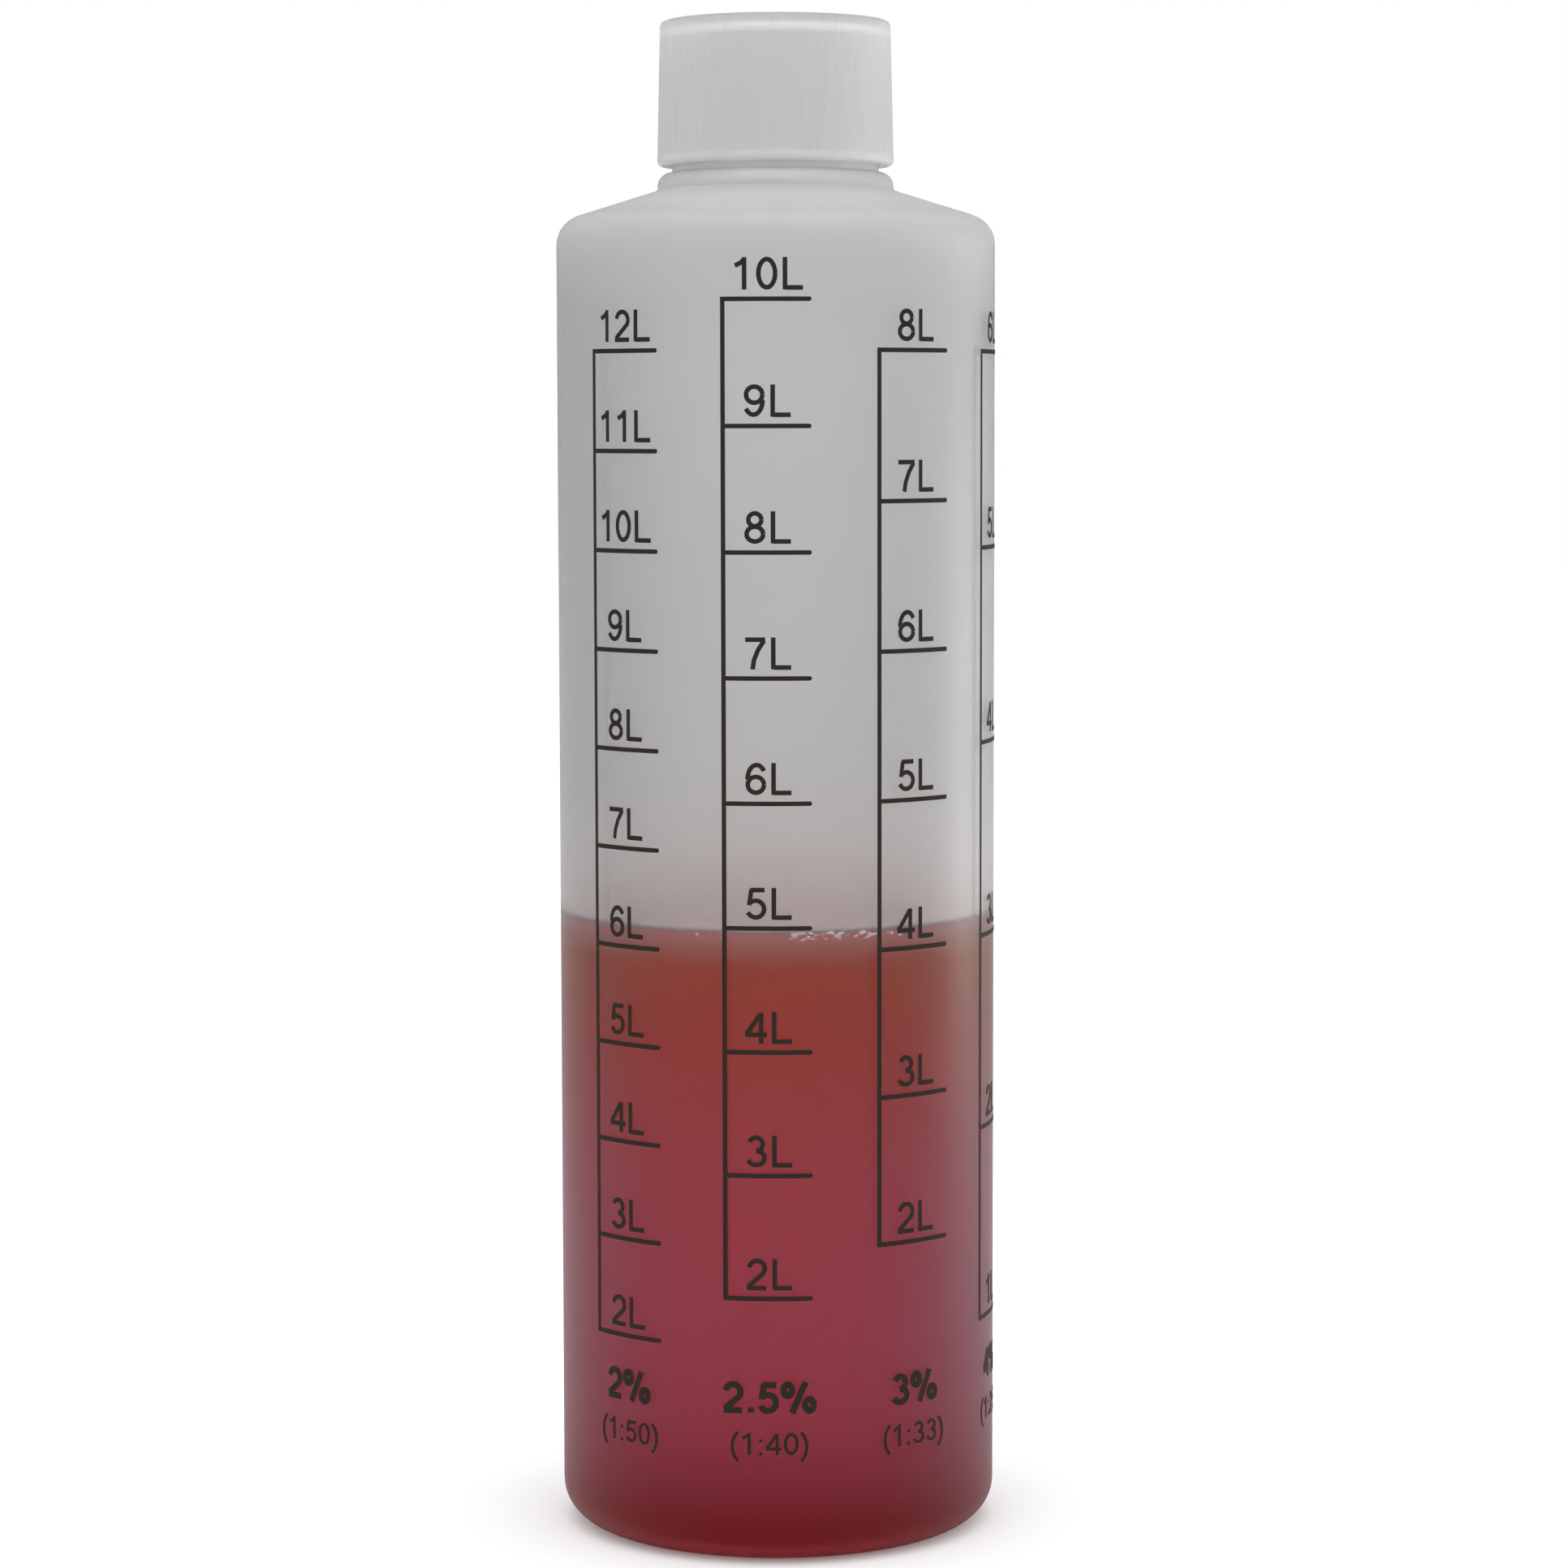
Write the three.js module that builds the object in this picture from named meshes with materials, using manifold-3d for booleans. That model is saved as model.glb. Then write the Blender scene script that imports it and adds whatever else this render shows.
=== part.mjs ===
// Oil dosing bottle: a blow-moulded bottle with printed mixing scales and a ribbed screw cap.
// It is part filled with two-stroke oil, and the height of every mark follows from the volume inside.
// Millimetres, +Z up. The origin is the centre of the standing ring, and the front faces -Y.
import * as THREE from "three";
import { mergeVertices } from "three/addons/utils/BufferGeometryUtils.js";
import Module from "manifold-3d";

const wasm = await Module();
wasm.setup();

// Bottle body
const BODY_DIAMETER = 50;
const WALL = 0.95;
const BASE_THICKNESS = 2.2;
const HEEL_RADIUS = 4.5;
const STANDING_RING_WIDTH = 3.5;
const PUSH_UP = 1.4;
const SHOULDER_SLOPE = THREE.MathUtils.degToRad(17.5);
const SHOULDER_RADIUS = 3.5;
const PINCH_SEAM_LENGTH = 22;
const PINCH_SEAM_WIDTH = 0.8;
const PINCH_SEAM_DROP = 0.35;

// Volumes in millilitres, which set how tall the body is
const TOP_MARK_VOLUME = 250;
const LOWEST_MARK_VOLUME = 40;
const OIL_VOLUME = 123.5;
const TOP_MARK_TO_SHOULDER = 9.2;
const OIL_GAP = 0.3;

// Neck finish
const BORE_DIAMETER = 17.8;
const NECK_WALL = 1.95;
const COLLAR_STEP = 0.9;
const COLLAR_OVERLAP = 0.6;
const BEAD_HEIGHT = 2.06;
const BEAD_ROUNDING = 1.6;
const NECK_HEIGHT = 15.0;
const LIP_CHAMFER = 0.3;

// Screw thread
const PITCH = 3.175;
const THREAD_DEPTH = 1.1;
const NECK_CREST_WIDTH = 0.3 * PITCH;
const CAP_CREST_WIDTH = 0.25 * PITCH;
const FLANK_ANGLE = THREE.MathUtils.degToRad(22);
const FLANK_CLEARANCE = 0.25;
const CREST_CLEARANCE = 0.3;
const CAP_CREST_TO_NECK = 0.4;
const NECK_THREAD_TURNS = 1.5;
const CAP_THREAD_TURNS = 2.25;
const CAP_THREAD_LEAD = 0.25;
const THREAD_BELOW_RIM = 2.2;
const THREAD_RUN_OUT = THREE.MathUtils.degToRad(30);
const RIDGE_ROOT_DEPTH = 0.4;

// Cap and liner
const CAP_GAP = 0.7;
const SKIRT_WALL = 1.2;
const CAP_PANEL = 1.0;
const CAP_DRAFT = 0.35;
const CAP_BOTTOM_ROUNDING = 0.6;
const CAP_TOP_ROUNDING = 1.0;
const CAP_RIM_HEIGHT = 1.0;
const CAP_LEAD_IN = 0.4;
const RIB_COUNT = 90;
const RIB_DEPTH = 0.25;
const LINER_THICKNESS = 1.0;
const LINER_CLEARANCE = 0.35;

// Printed scales: oil in millilitres for each litre of petrol, from left to right
const OIL_PER_LITRE = { scale_2_percent: 20, scale_2_5_percent: 25, scale_3_percent: 30, scale_4_percent: 40 };
const FIRST_SCALE_ARC = -23.43;
const SCALE_SPACING = 17.58;
const TICK_LENGTH = 9.75;
const INK_WIDTH = 0.5;
const INK_THICKNESS = 0.1;
const INK_GAP = 0.05;

// How finely round forms are cut into faces
const SEGMENTS = 60;
const FACET = (2 * Math.PI) / SEGMENTS;
const MERGE_TOLERANCE = 1e-4;

// Sizes that follow
const bodyRadius = BODY_DIAMETER / 2;
const innerRadius = bodyRadius - WALL;
const ringOuterRadius = bodyRadius - HEEL_RADIUS;
const ringInnerRadius = ringOuterRadius - STANDING_RING_WIDTH;
const domeRadius = (ringInnerRadius ** 2 + PUSH_UP ** 2) / (2 * PUSH_UP);
const domeCentre = PUSH_UP - domeRadius;
const domeEdge = Math.atan2(-domeCentre, ringInnerRadius);
const innerHeelRadius = HEEL_RADIUS - WALL;
const innerHeelTop = BASE_THICKNESS + innerHeelRadius;
const shoulderCorner = heightOfVolume(TOP_MARK_VOLUME) + TOP_MARK_TO_SHOULDER;
const shoulderStart = shoulderCorner - SHOULDER_RADIUS / Math.tan((Math.PI / 2 + SHOULDER_SLOPE) / 2);
const boreRadius = BORE_DIAMETER / 2;
const neckRadius = boreRadius + NECK_WALL;
const neckCrestRadius = neckRadius + THREAD_DEPTH;
const capInnerRadius = neckCrestRadius + CREST_CLEARANCE;
const capRadius = capInnerRadius + SKIRT_WALL;
const capCrestRadius = neckRadius + CAP_CREST_TO_NECK;
const beadFoot = shoulderCorner + (bodyRadius - capRadius) * Math.tan(SHOULDER_SLOPE);
const beadTop = beadFoot + BEAD_HEIGHT;
const rim = beadTop + NECK_HEIGHT;
const capBottom = beadTop + CAP_GAP;
const panelUnderside = rim + LINER_THICKNESS;
const capTop = panelUnderside + CAP_PANEL;
const threadTop = rim - THREAD_BELOW_RIM;
const flankOverlap = (neckCrestRadius - capCrestRadius) * Math.tan(FLANK_ANGLE);
const capThreadOffset = (NECK_CREST_WIDTH + CAP_CREST_WIDTH) / 2 + flankOverlap + FLANK_CLEARANCE;

// Points in the half plane of a turned profile: x is the radius and y the height.
function at(radius, height) {
  return new THREE.Vector2(radius, height);
}

function arc(centre, radius, from, to, steps) {
  return Array.from({ length: steps + 1 }, (_, i) => {
    const angle = from + ((to - from) * i) / steps;
    return at(centre.x + radius * Math.cos(angle), centre.y + radius * Math.sin(angle));
  });
}

// The pushed-up base from its centre out to the standing ring, raised by a height.
function domeProfile(raised) {
  return arc(at(0, domeCentre + raised), domeRadius, Math.PI / 2, domeEdge, 3);
}

// The inside of the base from the axis out to the top of its heel, drawn in from the wall by a gap.
function floorProfile(gap) {
  const heelCentre = at(ringOuterRadius, innerHeelTop);
  return [
    ...domeProfile(BASE_THICKNESS + gap),
    ...arc(heelCentre, innerHeelRadius - gap, -Math.PI / 2, 0, 3),
  ];
}

// The height to which a volume in millilitres fills the bottle.
function heightOfVolume(millilitres) {
  const floor = floorProfile(0);
  let belowHeelTop = 0;
  for (let i = 1; i < floor.length; i++) {
    const [a, b] = [floor[i - 1], floor[i]];
    belowHeelTop += (Math.PI / 3) * (a.x ** 2 + a.x * b.x + b.x ** 2) * (b.y - a.y);
  }
  const cubicMillimetres = millilitres * 1000;
  return innerHeelTop + (cubicMillimetres - belowHeelTop) / (Math.PI * innerRadius ** 2);
}

// A place round the axis: angle 0 is the front, and it grows towards +X.
function around(radius, angle, height) {
  return new THREE.Vector3(radius * Math.sin(angle), -radius * Math.cos(angle), height);
}

function solidFrom(geometry) {
  geometry.deleteAttribute("normal");
  geometry.deleteAttribute("uv");
  const merged = mergeVertices(geometry, MERGE_TOLERANCE);
  const corners = merged.index.array;
  const triangles = [];
  for (let i = 0; i < corners.length; i += 3) {
    const [a, b, c] = corners.slice(i, i + 3);
    if (a !== b && b !== c && c !== a) triangles.push(a, b, c);
  }
  const vertProperties = merged.attributes.position.array;
  const triVerts = new Uint32Array(triangles);
  return new wasm.Manifold(new wasm.Mesh({ numProp: 3, vertProperties, triVerts }));
}

// A solid of revolution: the profile runs up on its outer side.
function turned(profile) {
  return solidFrom(new THREE.LatheGeometry(profile, SEGMENTS).rotateX(Math.PI / 2));
}

// A solid through a row of rings with equal numbers of points, closed at both ends.
function skinned(rings) {
  const size = rings[0].length;
  const positions = rings.flat().flatMap((p) => [p.x, p.y, p.z]);
  const indices = [];
  for (let ring = 0; ring + 1 < rings.length; ring++) {
    for (let i = 0; i < size; i++) {
      const here = ring * size + i;
      const next = ring * size + ((i + 1) % size);
      indices.push(here, next, next + size, here, next + size, here + size);
    }
  }
  const last = (rings.length - 1) * size;
  for (let i = 1; i + 1 < size; i++) {
    indices.push(0, i + 1, i);
    indices.push(last, last + i, last + i + 1);
  }
  const geometry = new THREE.BufferGeometry();
  geometry.setAttribute("position", new THREE.Float32BufferAttribute(positions, 3));
  geometry.setIndex(indices);
  return solidFrom(geometry);
}

// A thread ridge on the common helix. Its section narrows from a buried root to the crest,
// and it rises out of the wall over the run-out at each end.
function threadRidge({ wallRadius, crestRadius, crestWidth, topAngle, topHeight, turns }) {
  const towardsCrest = Math.sign(crestRadius - wallRadius);
  const root = wallRadius - towardsCrest * RIDGE_ROOT_DEPTH;
  const hidden = wallRadius - (towardsCrest * RIDGE_ROOT_DEPTH) / 2;
  const halfWidth = (radius) => crestWidth / 2 + Math.abs(crestRadius - radius) * Math.tan(FLANK_ANGLE);
  const steps = Math.round(turns * SEGMENTS);
  const rings = [];
  for (let i = 0; i <= steps; i++) {
    const angle = topAngle - (steps - i) * FACET;
    const centre = topHeight - ((steps - i) * PITCH) / SEGMENTS;
    const risen = Math.min(1, (Math.min(i, steps - i) * FACET) / THREAD_RUN_OUT);
    const crest = THREE.MathUtils.lerp(hidden, crestRadius, risen);
    const [inner, outer] = [Math.min(root, crest), Math.max(root, crest)];
    rings.push([
      around(inner, angle, centre - halfWidth(inner)),
      around(inner, angle, centre + halfWidth(inner)),
      around(outer, angle, centre + halfWidth(outer)),
      around(outer, angle, centre - halfWidth(outer)),
    ]);
  }
  return skinned(rings);
}

// The line left where the mould pinched the tube shut, along the middle of the base.
function pinchSeam() {
  const pointsAcross = 6;
  const domeHeight = (x) => domeCentre + Math.sqrt(domeRadius ** 2 - x ** 2);
  const across = Array.from({ length: pointsAcross + 1 }, (_, i) => PINCH_SEAM_LENGTH * (i / pointsAcross - 0.5));
  const lower = across.map((x) => at(x, domeHeight(x) - PINCH_SEAM_DROP));
  const upper = across.map((x) => at(x, domeHeight(x) + BASE_THICKNESS / 2)).reverse();
  const outline = new THREE.Shape([...lower, ...upper]);
  const bar = new THREE.ExtrudeGeometry(outline, { depth: PINCH_SEAM_WIDTH, bevelEnabled: false });
  return solidFrom(bar.rotateX(Math.PI / 2).translate(0, PINCH_SEAM_WIDTH / 2, 0));
}

function bottleBody() {
  const shoulderCentre = at(bodyRadius - SHOULDER_RADIUS, shoulderStart);
  const coneNormal = Math.PI / 2 - SHOULDER_SLOPE;
  const beadCentre = at(capRadius - BEAD_ROUNDING, beadTop - BEAD_ROUNDING);
  const collarRadius = neckRadius + COLLAR_STEP;
  const collarTop = capBottom + COLLAR_OVERLAP;
  const innerConeAtBore =
    shoulderCorner + (bodyRadius - boreRadius) * Math.tan(SHOULDER_SLOPE) - WALL / Math.cos(SHOULDER_SLOPE);
  const shell = turned([
    ...domeProfile(0),
    ...arc(at(ringOuterRadius, HEEL_RADIUS), HEEL_RADIUS, -Math.PI / 2, 0, 4),
    ...arc(shoulderCentre, SHOULDER_RADIUS, 0, coneNormal, 3),
    at(capRadius, beadFoot),
    ...arc(beadCentre, BEAD_ROUNDING, 0, Math.PI / 2, 3),
    at(collarRadius, beadTop),
    at(collarRadius, collarTop),
    at(neckRadius, collarTop + COLLAR_STEP),
    at(neckRadius, rim - LIP_CHAMFER),
    at(neckRadius - LIP_CHAMFER, rim),
    at(boreRadius, rim),
    at(boreRadius, innerConeAtBore),
    ...arc(shoulderCentre, SHOULDER_RADIUS - WALL, coneNormal, 0, 2),
    ...floorProfile(0).reverse(),
  ]);
  const thread = threadRidge({
    wallRadius: neckRadius,
    crestRadius: neckCrestRadius,
    crestWidth: NECK_CREST_WIDTH,
    topAngle: 0,
    topHeight: threadTop,
    turns: NECK_THREAD_TURNS,
  });
  return shell.add(thread).add(pinchSeam());
}

// One level of the cap's outside: every second point lies at the bottom of a groove between ribs.
function ribbedRing(radius, height, depth) {
  return Array.from({ length: 2 * RIB_COUNT }, (_, i) => {
    return around(radius - (i % 2) * depth, (i * Math.PI) / RIB_COUNT, height);
  });
}

function screwCap() {
  const bottomEdge = at(capRadius - CAP_BOTTOM_ROUNDING, capBottom + CAP_BOTTOM_ROUNDING);
  const topEdge = at(capRadius - CAP_DRAFT - CAP_TOP_ROUNDING, capTop - CAP_TOP_ROUNDING);
  const outside = skinned([
    ...arc(bottomEdge, CAP_BOTTOM_ROUNDING, -Math.PI / 2, 0, 2).map((p) => ribbedRing(p.x, p.y, 0)),
    ribbedRing(capRadius, capBottom + CAP_RIM_HEIGHT, 0),
    ribbedRing(capRadius, capBottom + CAP_RIM_HEIGHT + RIB_DEPTH, RIB_DEPTH),
    ...arc(topEdge, CAP_TOP_ROUNDING, 0, Math.PI / 2, 3).map((p) => {
      const faded = 1 - (p.y - topEdge.y) / CAP_TOP_ROUNDING;
      return ribbedRing(p.x, p.y, RIB_DEPTH * faded);
    }),
  ]);
  const belowCap = capBottom - CAP_RIM_HEIGHT;
  const hollow = turned([
    at(0, belowCap),
    at(capInnerRadius + CAP_LEAD_IN, belowCap),
    at(capInnerRadius + CAP_LEAD_IN, capBottom),
    at(capInnerRadius, capBottom + CAP_LEAD_IN),
    at(capInnerRadius, panelUnderside),
    at(0, panelUnderside),
  ]);
  const thread = threadRidge({
    wallRadius: capInnerRadius,
    crestRadius: capCrestRadius,
    crestWidth: CAP_CREST_WIDTH,
    topAngle: 2 * Math.PI * CAP_THREAD_LEAD,
    topHeight: threadTop + CAP_THREAD_LEAD * PITCH - capThreadOffset,
    turns: CAP_THREAD_TURNS,
  });
  return outside.subtract(hollow).add(thread);
}

function capLiner() {
  const radius = capInnerRadius - LINER_CLEARANCE;
  return turned([at(0, rim), at(radius, rim), at(radius, panelUnderside), at(0, panelUnderside)]);
}

function oilFill() {
  const level = heightOfVolume(OIL_VOLUME);
  return turned([...floorProfile(OIL_GAP), at(innerRadius - OIL_GAP, level), at(0, level)]);
}

// The radius of a turned wall's flat facet at an angle, from the radius of its corners.
function facetRadius(cornerRadius, angle) {
  const pastCorner = THREE.MathUtils.euclideanModulo(angle, FACET);
  return (cornerRadius * Math.cos(FACET / 2)) / Math.cos(pastCorner - FACET / 2);
}

// A bar of ink wrapped on the body, bent where the body's facets meet.
function inkBar(from, to, low, high) {
  const angles = [from];
  for (let corner = Math.floor(from / FACET) + 1; corner * FACET < to; corner++) {
    angles.push(corner * FACET);
  }
  angles.push(to);
  const rings = angles.map((angle) => {
    const inner = facetRadius(bodyRadius + INK_GAP, angle);
    const outer = facetRadius(bodyRadius + INK_GAP + INK_THICKNESS, angle);
    return [
      around(inner, angle, low),
      around(inner, angle, high),
      around(outer, angle, high),
      around(outer, angle, low),
    ];
  });
  return skinned(rings);
}

// An upright line with a tick at each whole litre of petrol.
function printedScale(oilPerLitre, index) {
  const lineAngle = (FIRST_SCALE_ARC + index * SCALE_SPACING) / bodyRadius;
  const tickEnd = lineAngle + TICK_LENGTH / bodyRadius;
  const half = INK_WIDTH / 2;
  const first = Math.ceil(LOWEST_MARK_VOLUME / oilPerLitre);
  const last = Math.floor(TOP_MARK_VOLUME / oilPerLitre);
  const bottom = heightOfVolume(first * oilPerLitre) - half;
  const top = heightOfVolume(last * oilPerLitre) + half;
  let scale = inkBar(lineAngle - half / bodyRadius, lineAngle + half / bodyRadius, bottom, top);
  for (let litre = first; litre <= last; litre++) {
    const height = heightOfVolume(litre * oilPerLitre);
    scale = scale.add(inkBar(lineAngle, tickEnd, height - half, height + half));
  }
  return scale;
}

// Materials
const naturalHdpe = new THREE.MeshStandardMaterial({
  color: 0xc0bebd,
  roughness: 0.45,
  metalness: 0,
  transparent: true,
  opacity: 0.6,
});
const naturalPolypropylene = new THREE.MeshStandardMaterial({
  color: 0xc4c2c1,
  roughness: 0.4,
  metalness: 0,
  transparent: true,
  opacity: 0.8,
});
const foam = new THREE.MeshStandardMaterial({ color: 0xe4e3e1, roughness: 0.7, metalness: 0 });
const redOil = new THREE.MeshStandardMaterial({
  color: 0xa02a34,
  roughness: 0.1,
  metalness: 0,
  transparent: true,
  opacity: 0.9,
});
const blackInk = new THREE.MeshStandardMaterial({ color: 0x28231f, roughness: 0.5, metalness: 0 });

const bottle = new THREE.Group();

function addPiece(name, solid, material) {
  const mesh = solid.getMesh();
  const geometry = new THREE.BufferGeometry();
  geometry.setAttribute("position", new THREE.BufferAttribute(mesh.vertProperties, 3));
  geometry.setIndex(new THREE.BufferAttribute(mesh.triVerts, 1));
  geometry.computeVertexNormals();
  const piece = new THREE.Mesh(geometry, material);
  piece.name = name;
  bottle.add(piece);
}

addPiece("bottle_body", bottleBody(), naturalHdpe);
addPiece("screw_cap", screwCap(), naturalPolypropylene);
addPiece("cap_liner", capLiner(), foam);
addPiece("oil_fill", oilFill(), redOil);
Object.entries(OIL_PER_LITRE).forEach(([name, oilPerLitre], index) => {
  addPiece(name, printedScale(oilPerLitre, index), blackInk);
});

export default bottle;
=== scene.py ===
# Oil dosing bottle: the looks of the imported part.
# Metres, +Z up. The bottle stands on the origin, and its printed front faces -Y.
import math
import random

import bmesh
import bpy
from mathutils import Euler, Matrix, Vector


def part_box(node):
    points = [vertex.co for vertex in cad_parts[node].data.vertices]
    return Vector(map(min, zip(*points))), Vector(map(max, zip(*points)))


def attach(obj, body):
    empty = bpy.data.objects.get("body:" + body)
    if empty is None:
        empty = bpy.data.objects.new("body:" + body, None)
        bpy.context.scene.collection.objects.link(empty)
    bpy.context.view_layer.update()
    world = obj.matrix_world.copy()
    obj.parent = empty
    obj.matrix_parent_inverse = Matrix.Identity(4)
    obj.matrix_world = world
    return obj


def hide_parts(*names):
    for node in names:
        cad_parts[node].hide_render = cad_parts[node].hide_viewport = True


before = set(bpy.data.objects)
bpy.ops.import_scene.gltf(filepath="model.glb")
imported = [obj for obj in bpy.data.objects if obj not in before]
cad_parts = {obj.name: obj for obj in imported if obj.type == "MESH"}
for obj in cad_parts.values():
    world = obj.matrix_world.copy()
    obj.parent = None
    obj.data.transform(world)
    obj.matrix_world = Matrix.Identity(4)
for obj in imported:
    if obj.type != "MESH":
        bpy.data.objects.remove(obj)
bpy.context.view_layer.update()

MM = 0.001
_, body_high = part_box("bottle_body")
cap_low, cap_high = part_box("screw_cap")
liner_low, liner_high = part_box("cap_liner")
_, oil_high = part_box("oil_fill")

# Bottle
BODY_RADIUS = body_high.x
WALL = 0.95 * MM
BASE_THICKNESS = 2.2 * MM
HEEL_RADIUS = 4.5 * MM
STANDING_RING_WIDTH = 3.5 * MM
PUSH_UP = 1.4 * MM
SHOULDER_SLOPE = math.radians(17.5)
SHOULDER_RADIUS = 3.5 * MM
SHOULDER_FOOT_RADIUS = 0.25 * MM
RIM = body_high.z

# Underside: a flat standing ring, and inside it a dome that the base is pushed up to
RING_OUTER = BODY_RADIUS - HEEL_RADIUS
RING_INNER = RING_OUTER - STANDING_RING_WIDTH
DOME_RADIUS = (RING_INNER**2 + PUSH_UP**2) / (2 * PUSH_UP)
DOME_CENTRE = PUSH_UP - DOME_RADIUS
DOME_EDGE = math.atan2(-DOME_CENTRE, RING_INNER)

# Neck finish and thread
BORE_RADIUS = 8.9 * MM
NECK_RADIUS = 10.85 * MM
COLLAR_STEP = 0.9 * MM
COLLAR_OVERLAP = 0.6 * MM
BEAD_HEIGHT = 2.06 * MM
BEAD_ROUNDING = 1.6 * MM
LIP_ROUNDING = 0.3 * MM
PITCH = 3.175 * MM
THREAD_DEPTH = 1.1 * MM
NECK_CREST_WIDTH = 0.3 * PITCH
CAP_CREST_WIDTH = 0.25 * PITCH
FLANK_SLOPE = math.tan(math.radians(22))
NECK_THREAD_TURNS = 1.5
CAP_THREAD_TURNS = 2.25
CAP_THREAD_LEAD = 0.25
THREAD_BELOW_RIM = 2.2 * MM
THREAD_RUN_OUT = 0.08
FLANK_CLEARANCE = 0.25 * MM
CAP_CREST_TO_NECK = 0.4 * MM

# Cap
CAP_RADIUS = cap_high.x
CAP_BOTTOM = cap_low.z
CAP_TOP = cap_high.z
CAP_GAP = 0.7 * MM
CAP_INNER_RADIUS = 12.25 * MM
CAP_DRAFT = 0.35 * MM
CAP_BOTTOM_ROUNDING = 0.6 * MM
CAP_TOP_ROUNDING = 0.6 * MM
CAP_RIM_HEIGHT = 1.0 * MM
CAP_LEAD_IN = 0.4 * MM
RIB_COUNT = 90
RIB_DEPTH = 0.08 * MM

# The share of their depth at which the grooves between the ribs start above the plain rim
RIB_START = 0.6

# Liner
LINER_ROUNDING = 0.2 * MM

# Oil
OIL_LEVEL = oil_high.z
OIL_GAP = -0.03 * MM
MENISCUS_RISE = 0.7 * MM
MENISCUS_REACH = 1.0 * MM
FILM_HEIGHT = 3.0 * MM

# Painted highlights, pale flecks along the oil's surface: from one angle to another in degrees, and how
# many flecks
GLINT_FLECK_GROUPS = ((3, 27, 54), (28, 34, 6), (-22, -14, 4), (100, 160, 12), (200, 262, 10))
GLINT_FLECK_DEPTH = 0.19 * MM
GLINT_FLECK_THICKNESS = 0.08 * MM
GLINT_FLECK_SIZES_MM = (0.08, 0.24)
GLINT_FLECK_HEIGHTS_MM = (-0.5, 0.3)
GLINT_FLECK_SEED = 7

# Print: for each scale its node, the oil for a litre of petrol and what is printed below it
SCALES = (
    ("scale_2_percent", 20, "2%", "(1:50)"),
    ("scale_2_5_percent", 25, "2.5%", "(1:40)"),
    ("scale_3_percent", 30, "3%", "(1:33)"),
    ("scale_4_percent", 40, "4%", "(1:25)"),
)
TOP_MARK_VOLUME = 250
LOWEST_MARK_VOLUME = 40
FIRST_SCALE_ARC = -23.43 * MM
SCALE_SPACING = 17.58 * MM
TICK_LENGTH = 9.75 * MM
INK_WIDTH = 0.5 * MM
INK_THICKNESS = 0.03 * MM
INK_GAP = 0.02 * MM

# Heights of its letters, and how bold the pen draws them as a share of the ink's width
DIGIT_HEIGHT = 3.5 * MM
DIGIT_WEIGHT = 1.02
LABEL_LIFT = 1.0 * MM
PERCENT_HEIGHT = 17.5 * MM
PERCENT_DIGIT_HEIGHT = 3.35 * MM
PERCENT_WEIGHT = 1.4
RATIO_HEIGHT = 12.7 * MM
RATIO_DIGIT_HEIGHT = 2.5 * MM
RATIO_WEIGHT = 0.7

# How finely round forms are cut
BODY_SEGMENTS = 240
RIB_SEGMENTS = 8
THREAD_STEP = 0.25 * MM
DOME_STEPS = 6
HEEL_STEPS = 14
SHOULDER_STEPS = 12
INSIDE_STEPS = 10
BEAD_STEPS = 10
LIP_STEPS = 4
CAP_FOOT_STEPS = 6
CAP_TOP_STEPS = 8
LINER_STEPS = 4
MENISCUS_STEPS = 12
TICK_STEPS = 8
TICK_END_STEPS = 5
SMOOTH_BELOW = math.radians(40)

# A radius below this one is on the axis
ON_AXIS = 1e-9


def arc(centre_radius, centre_height, radius, start, end, steps):
    """Points (radius, height) on an arc in the half plane of a turned profile."""
    points = []
    for i in range(steps + 1):
        angle = start + (end - start) * i / steps
        across = centre_radius + radius * math.cos(angle)
        points.append((across, centre_height + radius * math.sin(angle)))
    return points


def level_steps(start, end, step):
    """Heights from start to end, both included, at most a step apart."""
    count = math.ceil(abs(end - start) / step)
    return [start + (end - start) * i / count for i in range(count + 1)]


def turned(name, profile, segments, shares=None):
    """A closed mesh of revolution. The profile starts and ends on the axis, and runs up outside.
    shares gives named floats by the profile's points, such as how far a thread or rib rises there."""
    vertices = []
    rings = []
    for radius, height in profile:
        start = len(vertices)
        count = 1 if radius < ON_AXIS else segments
        for i in range(count):
            angle = 2 * math.pi * i / segments
            vertices.append((radius * math.sin(angle), -radius * math.cos(angle), height))
        rings.append(list(range(start, start + count)))
    faces = []
    for lower, upper in zip(rings, rings[1:]):
        for i in range(segments):
            corners = [
                lower[i % len(lower)],
                lower[(i + 1) % len(lower)],
                upper[(i + 1) % len(upper)],
                upper[i % len(upper)],
            ]
            faces.append(list(dict.fromkeys(corners)))
    mesh = bpy.data.meshes.new(name)
    mesh.from_pydata(vertices, [], faces)
    for share_name, values in (shares or {}).items():
        attribute = mesh.attributes.new(share_name, "FLOAT", "POINT")
        spread = [values.get(i, 0.0) for i, ring in enumerate(rings) for _ in ring]
        attribute.data.foreach_set("value", spread)
    piece = bpy.data.objects.new(name, mesh)
    bpy.context.scene.collection.objects.link(piece)
    return piece


def add_node(tree, kind, inputs=(), **settings):
    """Adds a node with its settings, and gives its inputs values or links from other sockets."""
    node = tree.nodes.new(kind)
    for key, value in settings.items():
        setattr(node, key, value)
    pairs = inputs.items() if isinstance(inputs, dict) else enumerate(inputs)
    for key, value in pairs:
        if isinstance(value, bpy.types.NodeSocket):
            tree.links.new(value, node.inputs[key])
        else:
            node.inputs[key].default_value = value
    return node


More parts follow.
